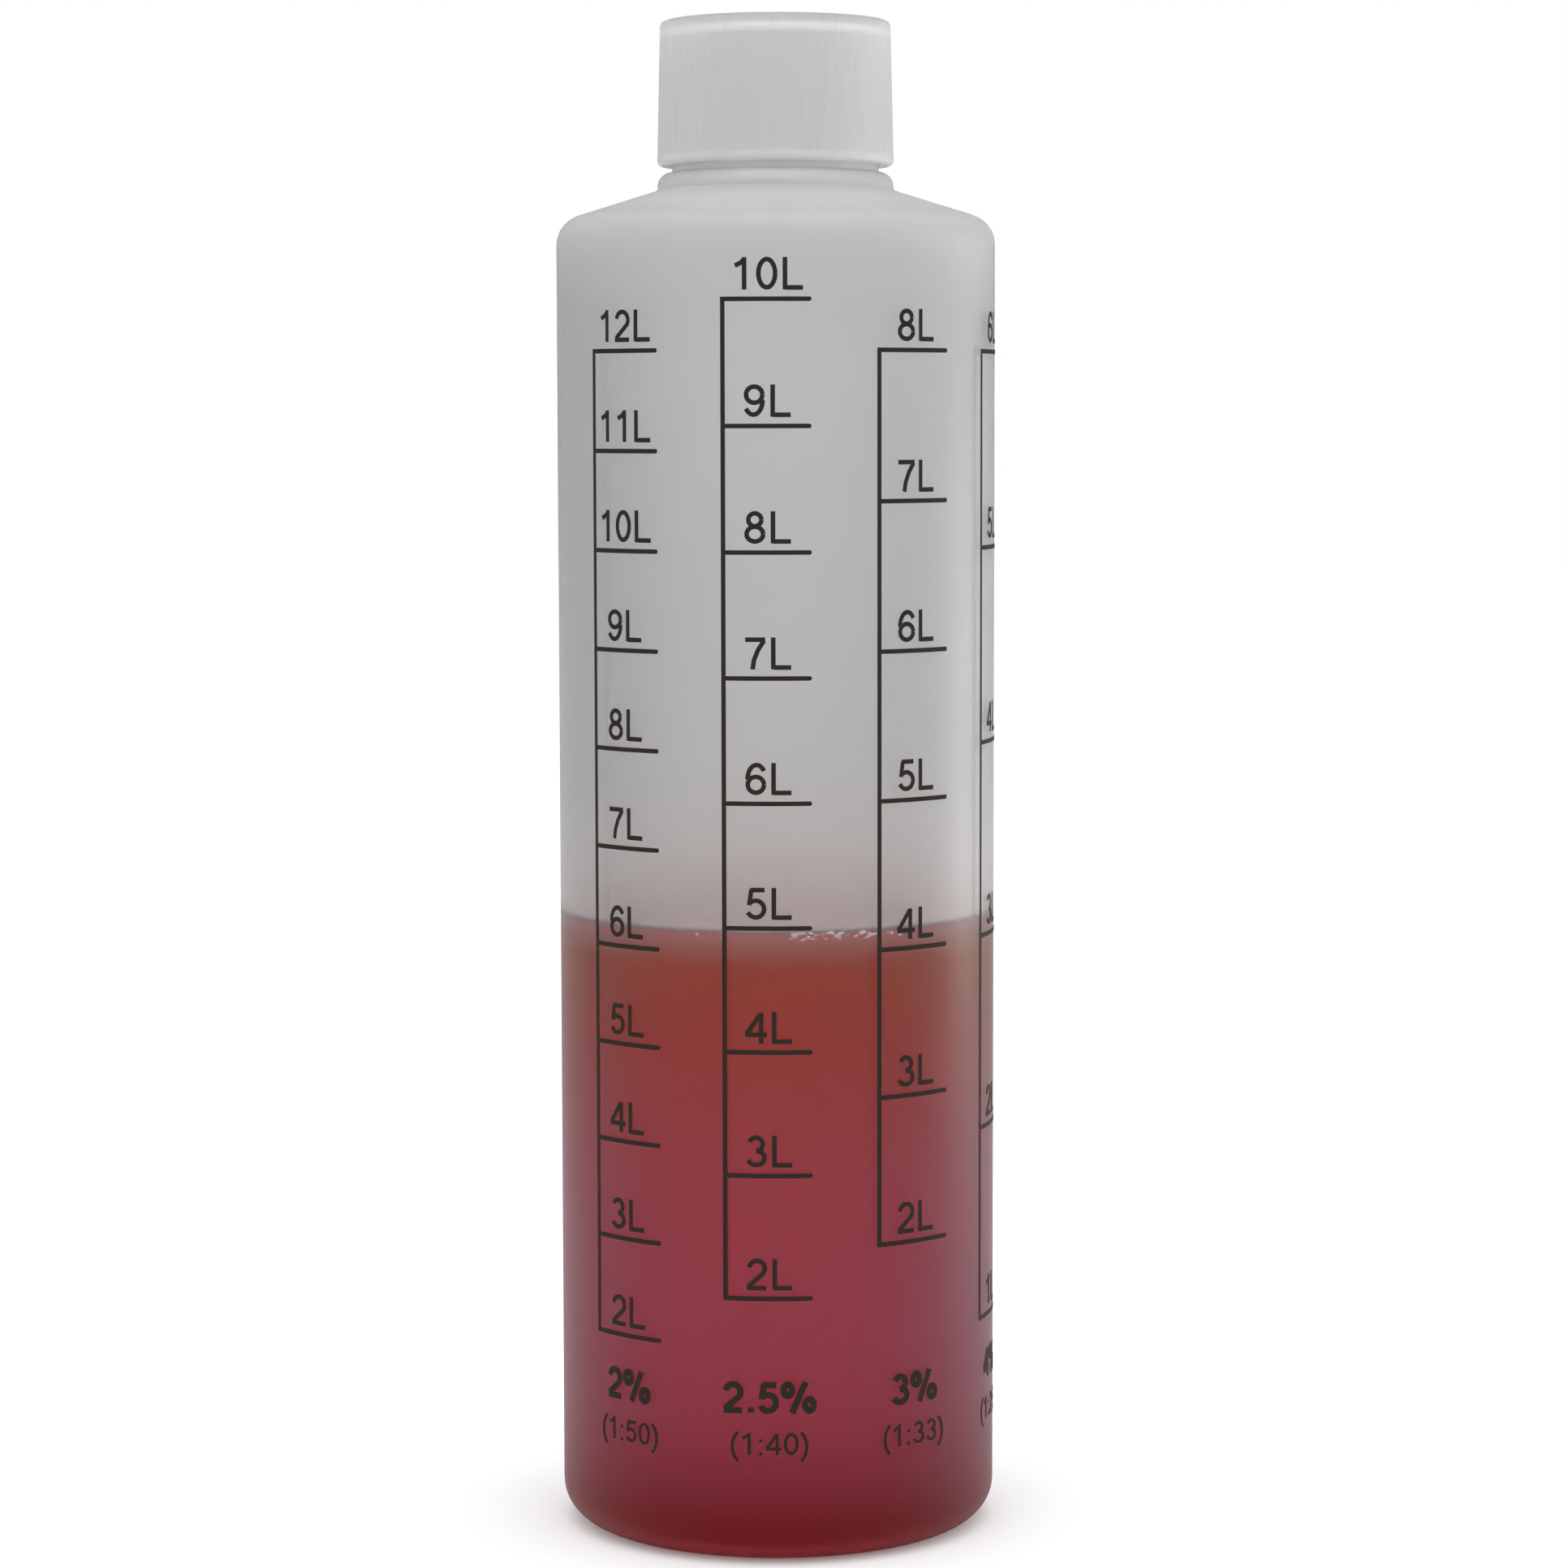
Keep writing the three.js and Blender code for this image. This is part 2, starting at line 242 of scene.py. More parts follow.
def new_geometry_tree(name, sizes):
    """A Geometry Nodes tree with a geometry input, named size inputs and a material input."""
    tree = bpy.data.node_groups.new(name, "GeometryNodeTree")
    tree.interface.new_socket("Geometry", in_out="INPUT", socket_type="NodeSocketGeometry")
    for size in sizes:
        tree.interface.new_socket(size, in_out="INPUT", socket_type="NodeSocketFloat")
    tree.interface.new_socket("Material", in_out="INPUT", socket_type="NodeSocketMaterial")
    tree.interface.new_socket("Geometry", in_out="OUTPUT", socket_type="NodeSocketGeometry")
    return tree, add_node(tree, "NodeGroupInput").outputs


def end_geometry_tree(tree, geometry, material):
    realized = add_node(tree, "GeometryNodeRealizeInstances", {"Geometry": geometry})
    coated = {"Geometry": realized.outputs[0], "Material": material}
    coated = add_node(tree, "GeometryNodeSetMaterial", coated).outputs[0]
    add_node(tree, "NodeGroupOutput", {"Geometry": coated})


def shaped_by(piece, tree, values):
    """Runs a tree on a piece with these input values, and returns the result as a plain mesh piece."""
    modifier = piece.modifiers.new(tree.name, "NODES")
    modifier.node_group = tree
    for item in tree.interface.items_tree:
        if item.in_out == "INPUT" and item.name in values:
            modifier[item.identifier] = values[item.name]
    evaluated = piece.evaluated_get(bpy.context.evaluated_depsgraph_get())
    mesh = bpy.data.meshes.new_from_object(evaluated)
    name = piece.name
    bpy.data.objects.remove(piece)
    mesh.name = name
    shaped = bpy.data.objects.new(name, mesh)
    bpy.context.scene.collection.objects.link(shaped)
    return shaped


def angle_and_outward(tree):
    """The angle round the axis, 0 at the front and growing towards +X, the height, and outwards."""
    position = add_node(tree, "GeometryNodeInputPosition").outputs[0]
    parts = add_node(tree, "ShaderNodeSeparateXYZ", [position]).outputs
    back = add_node(tree, "ShaderNodeMath", [parts["Y"], -1.0], operation="MULTIPLY").outputs[0]
    angle = add_node(tree, "ShaderNodeMath", [parts["X"], back], operation="ARCTAN2").outputs[0]
    outward = [position, (1, 1, 0)]
    outward = add_node(tree, "ShaderNodeVectorMath", outward, operation="MULTIPLY").outputs[0]
    outward = add_node(tree, "ShaderNodeVectorMath", [outward], operation="NORMALIZE").outputs[0]
    return angle, parts["Z"], outward


def thread_tree():
    """Lifts a ridge along a helix out of a turned wall where the attribute thread is 1.
    Foot Turn is the turn, counted from the front, at which the helix starts at Foot Height."""
    sizes = ["Pitch", "Depth", "Crest Half Width", "Root Half Width"]
    sizes += ["Foot Height", "Foot Turn", "Turns", "Run Out"]
    tree, given = new_geometry_tree("Screw thread", sizes)
    angle, height, outward = angle_and_outward(tree)
    share = add_node(tree, "ShaderNodeMath", [angle, 2 * math.pi], operation="DIVIDE").outputs[0]
    share = [share, given["Foot Turn"]]
    share = add_node(tree, "ShaderNodeMath", share, operation="SUBTRACT").outputs[0]
    above = [height, given["Foot Height"]]
    above = add_node(tree, "ShaderNodeMath", above, operation="SUBTRACT").outputs[0]
    climbed = add_node(tree, "ShaderNodeMath", [above, given["Pitch"]], operation="DIVIDE").outputs[0]
    along = add_node(tree, "ShaderNodeMath", [climbed, share], operation="SUBTRACT").outputs[0]
    whole = add_node(tree, "ShaderNodeMath", [along], operation="ROUND").outputs[0]
    off = add_node(tree, "ShaderNodeMath", [along, whole], operation="SUBTRACT").outputs[0]
    off = add_node(tree, "ShaderNodeMath", [off], operation="ABSOLUTE").outputs[0]
    off = add_node(tree, "ShaderNodeMath", [off, given["Pitch"]], operation="MULTIPLY").outputs[0]
    flank = {"From Min": given["Root Half Width"], "From Max": given["Crest Half Width"]}
    flank["Value"] = off
    side = add_node(tree, "ShaderNodeMapRange", flank, interpolation_type="SMOOTHSTEP").outputs[0]
    turn = add_node(tree, "ShaderNodeMath", [share, whole], operation="ADD").outputs[0]
    left = add_node(tree, "ShaderNodeMath", [given["Turns"], turn], operation="SUBTRACT").outputs[0]
    end = add_node(tree, "ShaderNodeMath", [turn, left], operation="MINIMUM").outputs[0]
    risen = {"Value": end, "From Min": 0.0, "From Max": given["Run Out"]}
    risen = add_node(tree, "ShaderNodeMapRange", risen, interpolation_type="SMOOTHSTEP").outputs[0]
    here = {"Name": "thread"}
    here = add_node(tree, "GeometryNodeInputNamedAttribute", here, data_type="FLOAT").outputs[0]
    lift = add_node(tree, "ShaderNodeMath", [side, risen], operation="MULTIPLY").outputs[0]
    lift = add_node(tree, "ShaderNodeMath", [lift, here], operation="MULTIPLY").outputs[0]
    lift = add_node(tree, "ShaderNodeMath", [lift, given["Depth"]], operation="MULTIPLY").outputs[0]
    offset = {"Vector": outward, "Scale": lift}
    offset = add_node(tree, "ShaderNodeVectorMath", offset, operation="SCALE").outputs[0]
    moved = {"Geometry": given["Geometry"], "Offset": offset}
    moved = add_node(tree, "GeometryNodeSetPosition", moved).outputs[0]
    end_geometry_tree(tree, moved, given["Material"])
    return tree


def rib_tree():
    """Cuts rounded grooves between upright ribs where the attribute rib is above 0."""
    tree, given = new_geometry_tree("Upright ribs", ["Count", "Depth"])
    angle, _, outward = angle_and_outward(tree)
    phase = add_node(tree, "ShaderNodeMath", [angle, given["Count"]], operation="MULTIPLY").outputs[0]
    wave = add_node(tree, "ShaderNodeMath", [phase], operation="COSINE").outputs[0]
    cut = {"Value": wave, "From Min": 1.0, "From Max": -1.0}
    cut = add_node(tree, "ShaderNodeMapRange", cut).outputs[0]
    here = {"Name": "rib"}
    here = add_node(tree, "GeometryNodeInputNamedAttribute", here, data_type="FLOAT").outputs[0]
    cut = add_node(tree, "ShaderNodeMath", [cut, here], operation="MULTIPLY").outputs[0]
    cut = add_node(tree, "ShaderNodeMath", [cut, given["Depth"]], operation="MULTIPLY").outputs[0]
    cut = add_node(tree, "ShaderNodeMath", [cut, -1.0], operation="MULTIPLY").outputs[0]
    offset = {"Vector": outward, "Scale": cut}
    offset = add_node(tree, "ShaderNodeVectorMath", offset, operation="SCALE").outputs[0]
    moved = {"Geometry": given["Geometry"], "Offset": offset}
    moved = add_node(tree, "GeometryNodeSetPosition", moved).outputs[0]
    end_geometry_tree(tree, moved, given["Material"])
    return tree


def print_tree():
    """Turns flat pen strokes into films of ink and wraps them round the wall.
    A stroke's x is its place along the wall, its y its height, and its radius the weight of the pen.
    Its section stays level, so that its width lies along the wall."""
    sizes = ["Ink Width", "Ink Thickness", "Ink Gap", "Wall Radius"]
    tree, given = new_geometry_tree("Print on the wall", sizes)
    finer = {"Curve": given["Geometry"], "Cuts": 2}
    finer = add_node(tree, "GeometryNodeSubdivideCurve", finer).outputs[0]
    level = add_node(tree, "GeometryNodeSetCurveNormal", {"Curve": finer}, mode="Z_UP").outputs[0]
    section = {"Width": given["Ink Width"], "Height": given["Ink Thickness"]}
    section = add_node(tree, "GeometryNodeCurvePrimitiveQuadrilateral", section).outputs[0]
    weight = add_node(tree, "GeometryNodeInputRadius").outputs[0]
    film = {"Curve": level, "Profile Curve": section, "Scale": weight, "Fill Caps": True}
    film = add_node(tree, "GeometryNodeCurveToMesh", film).outputs[0]
    position = add_node(tree, "GeometryNodeInputPosition").outputs[0]
    parts = add_node(tree, "ShaderNodeSeparateXYZ", [position]).outputs
    angle = [parts["X"], given["Wall Radius"]]
    angle = add_node(tree, "ShaderNodeMath", angle, operation="DIVIDE").outputs[0]
    half = add_node(tree, "ShaderNodeMath", [given["Ink Thickness"], 2.0], operation="DIVIDE").outputs[0]
    radius = [given["Wall Radius"], given["Ink Gap"]]
    radius = add_node(tree, "ShaderNodeMath", radius, operation="ADD").outputs[0]
    radius = add_node(tree, "ShaderNodeMath", [radius, half], operation="ADD").outputs[0]
    radius = add_node(tree, "ShaderNodeMath", [radius, parts["Z"]], operation="ADD").outputs[0]
    sine = add_node(tree, "ShaderNodeMath", [angle], operation="SINE").outputs[0]
    cosine = add_node(tree, "ShaderNodeMath", [angle], operation="COSINE").outputs[0]
    across = add_node(tree, "ShaderNodeMath", [radius, sine], operation="MULTIPLY").outputs[0]
    along = add_node(tree, "ShaderNodeMath", [radius, cosine], operation="MULTIPLY").outputs[0]
    along = add_node(tree, "ShaderNodeMath", [along, -1.0], operation="MULTIPLY").outputs[0]
    place = add_node(tree, "ShaderNodeCombineXYZ", [across, along, parts["Y"]]).outputs[0]
    wrapped = add_node(tree, "GeometryNodeSetPosition", {"Geometry": film, "Position": place}).outputs[0]
    end_geometry_tree(tree, wrapped, given["Material"])
    return tree


def curve_of(centre_x, centre_y, width, height, start, end, steps=20):
    """Points on an ellipse from one angle to another, in degrees."""
    points = []
    for i in range(steps + 1):
        angle = math.radians(start + (end - start) * i / steps)
        points.append((centre_x + width * math.cos(angle), centre_y + height * math.sin(angle)))
    return points


# Letterforms for a capital height of 1: how far each moves the pen, and the middle lines of its strokes
GLYPHS = {
    "0": (0.78, [curve_of(0.385, 0.5, 0.26, 0.435, 0, 360, 32)]),
    "1": (0.78, [[(0.46, 0), (0.46, 1)], [(0.46, 0.94), (0.36, 0.83), (0.17, 0.74)]]),
    "2": (
        0.78,
        [
            curve_of(0.385, 0.68, 0.25, 0.255, 172, -38) + [(0.11, 0.11)],
            [(0.06, 0.06), (0.68, 0.06)],
        ],
    ),
    "3": (
        0.78,
        [
            curve_of(0.37, 0.725, 0.215, 0.21, 160, -90),
            curve_of(0.375, 0.29, 0.265, 0.225, 90, -162),
        ],
    ),
    "4": (0.78, [[(0.54, 0), (0.54, 0.97)], [(0.52, 0.94), (0.08, 0.3)], [(0.04, 0.28), (0.72, 0.28)]]),
    "5": (
        0.78,
        [
            [(0.22, 0.93), (0.66, 0.93)],
            [(0.25, 0.96), (0.17, 0.45)],
            curve_of(0.38, 0.33, 0.265, 0.265, 140, -158),
        ],
    ),
    "6": (
        0.78,
        [
            curve_of(0.395, 0.315, 0.255, 0.25, 0, 360, 28),
            curve_of(0.42, 0.49, 0.285, 0.445, 182, 35),
        ],
    ),
    "7": (0.78, [[(0.07, 0.93), (0.7, 0.93)], [(0.66, 0.9), (0.47, 0.6), (0.35, 0.3), (0.3, 0)]]),
    "8": (
        0.78,
        [
            curve_of(0.385, 0.735, 0.205, 0.2, 0, 360, 24),
            curve_of(0.385, 0.29, 0.26, 0.23, 0, 360, 28),
        ],
    ),
    "9": (
        0.78,
        [
            curve_of(0.375, 0.685, 0.255, 0.25, 0, 360, 28),
            curve_of(0.35, 0.51, 0.285, 0.445, 2, -145),
        ],
    ),
    "L": (0.76, [[(0.17, 0), (0.17, 1)], [(0.17, 0.06), (0.73, 0.06)]]),
    "%": (
        1.24,
        [
            curve_of(0.26, 0.76, 0.145, 0.195, 0, 360, 24),
            curve_of(0.98, 0.24, 0.145, 0.195, 0, 360, 24),
            [(0.4, -0.02), (0.85, 1.02)],
        ],
    ),
    "(": (0.46, [curve_of(0.62, 0.36, 0.46, 0.72, 116, 244)]),
    ")": (0.46, [curve_of(-0.16, 0.36, 0.46, 0.72, 64, -64)]),
    ":": (0.39, [[(0.195, 0), (0.195, 0.14)], [(0.195, 0.58), (0.195, 0.72)]]),
    ".": (0.39, [[(0.195, 0), (0.195, 0.16)]]),
}


def text_strokes(text, centre, base, height, weight):
    """The strokes of a centred line of text: each is a list of (x, y, weight of the pen there)."""
    strokes = []
    pen = centre - height * sum(GLYPHS[letter][0] for letter in text) / 2
    for letter in text:
        advance, lines = GLYPHS[letter]
        for line in lines:
            strokes.append([(pen + height * x, base + height * y, weight) for x, y in line])
        pen += height * advance
    return strokes


def round_ended(start, end, height):
    """A level stroke whose right end is rounded, as the pen's weight falls to nothing."""
    half = INK_WIDTH / 2
    points = [
        (start + (end - half - start) * i / TICK_STEPS, height, 1.0)
        for i in range(TICK_STEPS + 1)
    ]
    for i in range(1, TICK_END_STEPS):
        angle = math.pi / 2 * i / TICK_END_STEPS
        points.append((end - half + half * math.sin(angle), height, math.cos(angle)))
    return points


def stroke_curve(name, strokes):
    data = bpy.data.curves.new(name, "CURVE")
    data.dimensions = "3D"
    for stroke in strokes:
        spline = data.splines.new("POLY")
        spline.points.add(len(stroke) - 1)
        for point, (x, y, weight) in zip(spline.points, stroke):
            point.co = (x, y, 0, 1)
            point.radius = weight
    piece = bpy.data.objects.new(name, data)
    bpy.context.scene.collection.objects.link(piece)
    return piece


def printed_scale(index, node, per_litre, percent, ratio, tree, material):
    """One mixing scale: its upright line, its ticks with their litres, and its percentage and ratio."""
    low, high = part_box(node)
    first = math.ceil(LOWEST_MARK_VOLUME / per_litre)
    last = math.floor(TOP_MARK_VOLUME / per_litre)
    bottom = low.z + INK_WIDTH / 2
    top = high.z - INK_WIDTH / 2
    line = FIRST_SCALE_ARC + index * SCALE_SPACING
    middle = line + TICK_LENGTH / 2
    strokes = [[(line, low.z, 1.0), (line, high.z, 1.0)]]
    for litre in range(first, last + 1):
        height = bottom + (top - bottom) * (litre - first) / (last - first)
        strokes.append(round_ended(line, line + TICK_LENGTH, height))
        strokes += text_strokes(f"{litre}L", middle, height + LABEL_LIFT, DIGIT_HEIGHT, DIGIT_WEIGHT)
    strokes += text_strokes(percent, middle, PERCENT_HEIGHT, PERCENT_DIGIT_HEIGHT, PERCENT_WEIGHT)
    strokes += text_strokes(ratio, middle, RATIO_HEIGHT, RATIO_DIGIT_HEIGHT, RATIO_WEIGHT)
    sizes = {
        "Ink Width": INK_WIDTH,
        "Ink Thickness": INK_THICKNESS,
        "Ink Gap": INK_GAP,
        "Wall Radius": BODY_RADIUS,
        "Material": material,
    }
    return shaped_by(stroke_curve("print_" + node, strokes), tree, sizes)


def floor_profile(gap):
    """The inside of the base from the axis to the top of its heel, drawn in from the wall by a gap."""
    heel = HEEL_RADIUS - WALL
    floor = arc(0, DOME_CENTRE + BASE_THICKNESS + gap, DOME_RADIUS, math.pi / 2, DOME_EDGE, DOME_STEPS)
    floor[0] = (0.0, floor[0][1])
    return floor + arc(RING_OUTER, BASE_THICKNESS + heel, heel - gap, -math.pi / 2, 0, INSIDE_STEPS)


def bottle_profile():
    """The bottle's closed section, with the share of the thread at each point of it."""
    bead_top = CAP_BOTTOM - CAP_GAP
    bead_foot = bead_top - BEAD_HEIGHT
    corner = bead_foot - (BODY_RADIUS - CAP_RADIUS) * math.tan(SHOULDER_SLOPE)
    normal = math.pi / 2 - SHOULDER_SLOPE
    shoulder_start = corner - SHOULDER_RADIUS / math.tan((math.pi / 2 + SHOULDER_SLOPE) / 2)
    shoulder = (BODY_RADIUS - SHOULDER_RADIUS, shoulder_start)
    collar = NECK_RADIUS + COLLAR_STEP
    collar_top = CAP_BOTTOM + COLLAR_OVERLAP
    inner_cone = corner + (BODY_RADIUS - BORE_RADIUS) * math.tan(SHOULDER_SLOPE)
    inner_cone -= WALL / math.cos(SHOULDER_SLOPE)
    foot_drop = SHOULDER_FOOT_RADIUS * math.tan(SHOULDER_SLOPE)
    outside = arc(0, DOME_CENTRE, DOME_RADIUS, math.pi / 2, DOME_EDGE, DOME_STEPS)
    outside[0] = (0.0, outside[0][1])
    outside += arc(RING_OUTER, HEEL_RADIUS, HEEL_RADIUS, -math.pi / 2, 0, HEEL_STEPS)
    outside += arc(*shoulder, SHOULDER_RADIUS, 0, normal, SHOULDER_STEPS)
    outside += [(CAP_RADIUS + SHOULDER_FOOT_RADIUS, bead_foot - foot_drop)]
    outside += [(CAP_RADIUS, bead_foot + SHOULDER_FOOT_RADIUS / 2)]
    bead = (CAP_RADIUS - BEAD_ROUNDING, bead_top - BEAD_ROUNDING)
    outside += arc(*bead, BEAD_ROUNDING, 0, math.pi / 2, BEAD_STEPS)
    outside += [(collar, bead_top), (collar, collar_top), (NECK_RADIUS, collar_top + COLLAR_STEP)]
    thread_from = len(outside) - 1
    levels = level_steps(collar_top + COLLAR_STEP, RIM - LIP_ROUNDING, THREAD_STEP)
    outside += [(NECK_RADIUS, z) for z in levels[1:]]
    thread_to = len(outside) - 1
    lip = (NECK_RADIUS - LIP_ROUNDING, RIM - LIP_ROUNDING)
    outside += arc(*lip, LIP_ROUNDING, 0, math.pi / 2, LIP_STEPS)[1:]
    inside = [(BORE_RADIUS, RIM), (BORE_RADIUS, inner_cone)]
    inside += arc(*shoulder, SHOULDER_RADIUS - WALL, normal, 0, INSIDE_STEPS)
    inside += floor_profile(0)[::-1]
    return outside + inside, {i: 1.0 for i in range(thread_from, thread_to)}


def oil_profile():
    """The oil's section: it follows the wall, and climbs it a little at its surface."""
    edge = BODY_RADIUS - WALL - OIL_GAP
    surface = [(edge, OIL_LEVEL + MENISCUS_RISE)]
    for i in range(1, MENISCUS_STEPS + 1):
        share = i / MENISCUS_STEPS
        climb = MENISCUS_RISE * (1 - share) ** 2
        surface.append((edge - MENISCUS_REACH * share**2, OIL_LEVEL + climb))
    return floor_profile(OIL_GAP) + surface + [(0.0, OIL_LEVEL)]


def cap_profile():
    """The cap's section from the middle of its panel's underside, with the shares of thread and ribs."""
    panel = liner_high.z
    thread_foot = CAP_BOTTOM + CAP_LEAD_IN
    points = [(0.0, panel), (CAP_INNER_RADIUS - CAP_LEAD_IN, panel)]
    points += [(CAP_INNER_RADIUS, panel - CAP_LEAD_IN)]
    thread_from = len(points) - 1
    levels = level_steps(panel - CAP_LEAD_IN, thread_foot, THREAD_STEP)
    points += [(CAP_INNER_RADIUS, z) for z in levels[1:]]
    thread_to = len(points) - 1
    points += [(CAP_INNER_RADIUS + CAP_LEAD_IN, CAP_BOTTOM)]
    edge = CAP_BOTTOM_ROUNDING
    points += arc(CAP_RADIUS - edge, CAP_BOTTOM + edge, edge, -math.pi / 2, 0, CAP_FOOT_STEPS)
    plain_rim = CAP_BOTTOM + CAP_RIM_HEIGHT
    points += [(CAP_RADIUS, plain_rim)]
    ribbed = {len(points): RIB_START, len(points) + 1: 1.0}
    points += [(CAP_RADIUS, plain_rim + RIB_DEPTH)]
    points += [(CAP_RADIUS - RIB_DEPTH / 4, plain_rim + 2 * RIB_DEPTH)]
    rounding = (CAP_RADIUS - CAP_DRAFT - CAP_TOP_ROUNDING, CAP_TOP - CAP_TOP_ROUNDING)
    top = arc(*rounding, CAP_TOP_ROUNDING, 0, math.pi / 2, CAP_TOP_STEPS)
    for i in range(len(top)):
        ribbed[len(points) + i] = 1 - (i / CAP_TOP_STEPS) ** 2
    return points + top + [(0.0, CAP_TOP)], {i: 1.0 for i in range(thread_from, thread_to)}, ribbed


def liner_profile():
    edge = LINER_ROUNDING
    radius = liner_high.x - edge
    section = [(0.0, liner_low.z)]
    section += arc(radius, liner_low.z + edge, edge, -math.pi / 2, 0, LINER_STEPS)
    section += arc(radius, liner_high.z - edge, edge, 0, math.pi / 2, LINER_STEPS)
    return section + [(0.0, liner_high.z)]


def painted_glint_flecks(name):
    """Pale flecks inside the wall at the oil's surface, in a few loose groups: painted highlights for
    its glints.
    """
    dice = random.Random(GLINT_FLECK_SEED)
    mesh = bmesh.new()
    for first, last, count in GLINT_FLECK_GROUPS:
        for _ in range(count):
            angle = math.radians(dice.uniform(first, last))
            size = dice.uniform(*GLINT_FLECK_SIZES_MM) * MM
            height = OIL_LEVEL + dice.uniform(*GLINT_FLECK_HEIGHTS_MM) * MM
            radius = BODY_RADIUS - GLINT_FLECK_DEPTH
            place = Matrix.Translation((radius * math.sin(angle), -radius * math.cos(angle), height))
            long = size * dice.uniform(1, 1.8)
            high = size * dice.uniform(0.6, 1.0)
            shape = Matrix.Diagonal((long, GLINT_FLECK_THICKNESS, high, 1))
            turn = Matrix.Rotation(angle, 4, "Z")
            bmesh.ops.create_icosphere(mesh, subdivisions=2, radius=1.0, matrix=place @ turn @ shape)
    data = bpy.data.meshes.new(name)
    mesh.to_mesh(data)
    mesh.free()
    piece = bpy.data.objects.new(name, data)
    bpy.context.scene.collection.objects.link(piece)
    return piece


def shade_smooth(piece):
    piece.data.set_sharp_from_angle(angle=SMOOTH_BELOW)


def linear(hex_colour):
    """An sRGB hex colour as linear RGBA."""
    channels = [int(hex_colour[i : i + 2], 16) / 255 for i in (1, 3, 5)]
    curve = [c / 12.92 if c <= 0.04045 else ((c + 0.055) / 1.055) ** 2.4 for c in channels]
    return (*curve, 1.0)


# The wall lets less light straight through where it thickens into the neck, and where the film is
THIN_UP_TO = 145 * MM
THICK_FROM = 152 * MM
THICK_WALL_CLEARNESS = 0.6
FILM_CLEARNESS = 0.93

# The orange peel has a bump every 2.2 mm or so, and the film a patch every 1.7 mm
PEEL_BUMPS_PER_METRE = 450.0
PEEL_DEPTH = 0.3 * MM
FILM_PATCHES_PER_METRE = 600.0

# What the dye in the oil lets through of each colour, and how densely it takes the rest
DYE_COLOUR = (0.9, 0.16, 0.36, 1.0)
DYE_DENSITY = 82.0

# The wall's tint at each height: painted red below the oil's level for the oil seen through it
WALL_TINTS_WITH_PAINTED_LIGHT = (
    # Deeper red towards the base, partly for its thicker base and partly painted shade; its red lifted
    # at the heel by painted light
    (0.0, "#E8303C"),
    (3.0 * MM, "#E04E5E"),
    (9.0 * MM, "#D27094"),
    (25.0 * MM, "#D68AB4"),
    (40.0 * MM, "#D68AA4"),
    (OIL_LEVEL - 12 * MM, "#D28C88"),
    (OIL_LEVEL - 4.5 * MM, "#D09C90"),
    (OIL_LEVEL - 1.3 * MM, "#C8B0AB"),
    (OIL_LEVEL + 0.5 * MM, "#E8E2E1"),
    (OIL_LEVEL + 6 * MM, "#E2E0DF"),
    (OIL_LEVEL + 16 * MM, "#D9D8D8"),
    # Painted light: lighter from the shoulder up, as if lit from above
    (140.0 * MM, "#DEDEDF"),
    (145.0 * MM, "#E9E9EA"),
    (CAP_BOTTOM - CAP_GAP, "#F0F0F1"),
    # Painted light: the collar in the shaded gap under the cap, lifted to near white
    (CAP_BOTTOM - CAP_GAP + 0.2 * MM, "#FAFAFA"),
    (CAP_BOTTOM, "#FAFAFA"),
    (CAP_BOTTOM + 0.8 * MM, "#E0E0E1"),
    (RIM, "#E0E0E1"),
)

# Painted reflection: the tint of the light that the wall throws back, reddened and dimmed below the
# oil's level
WALL_PAINTED_REFLECTION_TINTS = (
    (0.0, "#FF7888"),
    (6.0 * MM, "#FF8698"),
    (15.0 * MM, "#FFC6DD"),
    (25.0 * MM, "#FFD4E0"),
    (45.0 * MM, "#FFDCE6"),
    (OIL_LEVEL - 9 * MM, "#FFDBBB"),
    (OIL_LEVEL - 3.5 * MM, "#FFE4B4"),
    (OIL_LEVEL + 1 * MM, "#FFFFFF"),
    (RIM, "#FFFFFF"),
)

# The cap's tint at each height: painted light makes it lighter at its foot, and where its panel and the
# white liner lie
CAP_TINTS_WITH_PAINTED_LIGHT = (
    (CAP_BOTTOM, "#F3F3F3"),
    (CAP_BOTTOM + 0.9 * MM, "#F3F3F3"),
    (CAP_BOTTOM + 1.4 * MM, "#EAEAEB"),
    (RIM - 6 * MM, "#EEEEEF"),
    (RIM - 0.2 * MM, "#EFEFF0"),
    (RIM + 0.2 * MM, "#FAFAFA"),
    (CAP_TOP, "#FAFAFA"),
)


def new_material(name):
    material = bpy.data.materials.new(name)
    material.use_nodes = True
    material.node_tree.nodes.clear()
    return material, material.node_tree


def colour_by_height(tree, height, stops):
    """A colour that changes with the height, from stops of (height, hex colour)."""
    span = {"Value": height, "From Min": stops[0][0], "From Max": stops[-1][0]}
    share = add_node(tree, "ShaderNodeMapRange", span).outputs[0]
    ramp = add_node(tree, "ShaderNodeValToRGB", {"Fac": share})
    elements = ramp.color_ramp.elements
    while len(elements) < len(stops):
        elements.new(1.0)
    for element, (place, colour) in zip(elements, stops):
        element.position = (place - stops[0][0]) / (stops[-1][0] - stops[0][0])
        element.color = linear(colour)
    return ramp.outputs[0]


